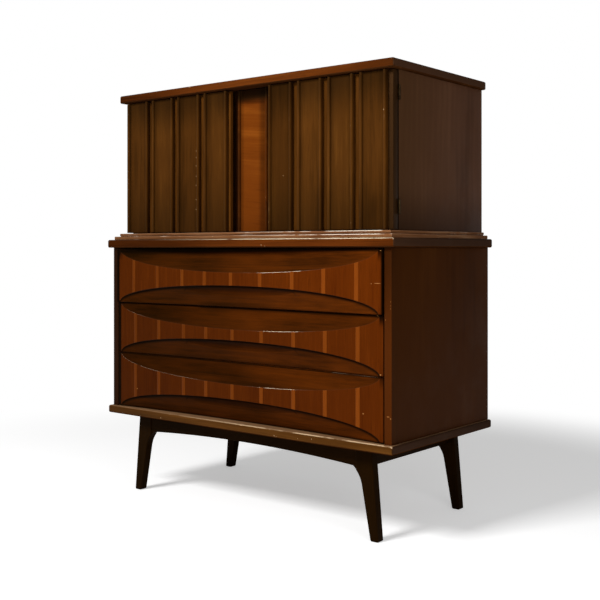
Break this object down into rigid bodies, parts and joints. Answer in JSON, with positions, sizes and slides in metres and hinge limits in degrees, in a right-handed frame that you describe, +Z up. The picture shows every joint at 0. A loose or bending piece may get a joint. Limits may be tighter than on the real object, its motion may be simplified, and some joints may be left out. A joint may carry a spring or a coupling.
{
  "type": "highboy",
  "caption": "Tall chest on splayed tapering legs: a lower case of drawers with leaf-shaped scooped fronts, and a narrower upper case with hinged doors of dished boards.",
  "frame": {"origin": "on the floor, under the middle of the overall width and depth", "axes": "+X to the piece's right as seen from its front, -Y out of its front, +Z up"},
  "size_m": [0.992, 0.476, 1.139],
  "materials": {
    "case_wood": "satin dark walnut",
    "slab_wood": "satin walnut with worn edges",
    "front_wood": "satin walnut",
    "strip_wood": "satin light walnut",
    "door_wood": "satin olive-brown walnut",
    "figured_wood": "satin figured walnut",
    "inner_wood": "plain sealed",
    "brass": "dull"
  },
  "bodies": {
    "case": {"top_slab": "slab_wood", "upper_side_left": "case_wood", "upper_side_right": "case_wood", "upper_top_board": "case_wood", "upper_floor": "case_wood", "upper_back_panel": "inner_wood", "centre_stile": "case_wood", "centre_board": "figured_wood", "centre_partition": "case_wood", "shelf_left": "inner_wood", "shelf_right": "inner_wood", "shelf_pins": "brass", "hinge_case_leaves": "brass", "door_catches": "brass", "waist_moulding": "slab_wood", "waist_band": "slab_wood", "lower_side_left": "case_wood", "lower_side_right": "case_wood", "lower_back_panel": "inner_wood", "drawer_rails": "inner_wood", "drawer_runners": "inner_wood", "bottom_slab": "slab_wood", "apron_front": "case_wood", "apron_back": "case_wood", "apron_sides": "case_wood", "corner_blocks": "inner_wood", "leg_front_left": "case_wood", "leg_front_right": "case_wood", "leg_back_left": "case_wood", "leg_back_right": "case_wood"},
    "door_left": {"door_left_panel": "door_wood", "door_left_board_1": "door_wood", "door_left_board_2": "door_wood", "door_left_board_3": "door_wood", "door_left_board_4": "door_wood", "door_left_fittings": "brass"},
    "door_right": {"door_right_panel": "door_wood", "door_right_board_1": "door_wood", "door_right_board_2": "door_wood", "door_right_board_3": "door_wood", "door_right_board_4": "door_wood", "door_right_fittings": "brass"},
    "drawer_1": {"drawer_1_front": "front_wood", "drawer_1_strips": "strip_wood", "drawer_1_side_left": "inner_wood", "drawer_1_side_right": "inner_wood", "drawer_1_back": "inner_wood", "drawer_1_bottom": "inner_wood"},
    "drawer_2": {"drawer_2_front": "front_wood", "drawer_2_strips": "strip_wood", "drawer_2_side_left": "inner_wood", "drawer_2_side_right": "inner_wood", "drawer_2_back": "inner_wood", "drawer_2_bottom": "inner_wood"},
    "drawer_3": {"drawer_3_front": "front_wood", "drawer_3_strips": "strip_wood", "drawer_3_side_left": "inner_wood", "drawer_3_side_right": "inner_wood", "drawer_3_back": "inner_wood", "drawer_3_bottom": "inner_wood"}
  },
  "joints": [
    {"name": "door_left_hinge", "type": "hinge", "parent": "case", "child": "door_left", "pos_m": [-0.4674, -0.16975, 0.9275], "axis": [0, 0, -1], "range_deg": [0, 170]},
    {"name": "door_right_hinge", "type": "hinge", "parent": "case", "child": "door_right", "pos_m": [0.4674, -0.16975, 0.9275], "axis": [0, 0, 1], "range_deg": [0, 170]},
    {"name": "drawer_1_slide", "type": "slide", "parent": "case", "child": "drawer_1", "axis": [0, -1, 0], "range_m": [-0.006, 0.3]},
    {"name": "drawer_2_slide", "type": "slide", "parent": "case", "child": "drawer_2", "axis": [0, -1, 0], "range_m": [0, 0.3]},
    {"name": "drawer_3_slide", "type": "slide", "parent": "case", "child": "drawer_3", "axis": [0, -1, 0], "range_m": [0, 0.3]}
  ]
}
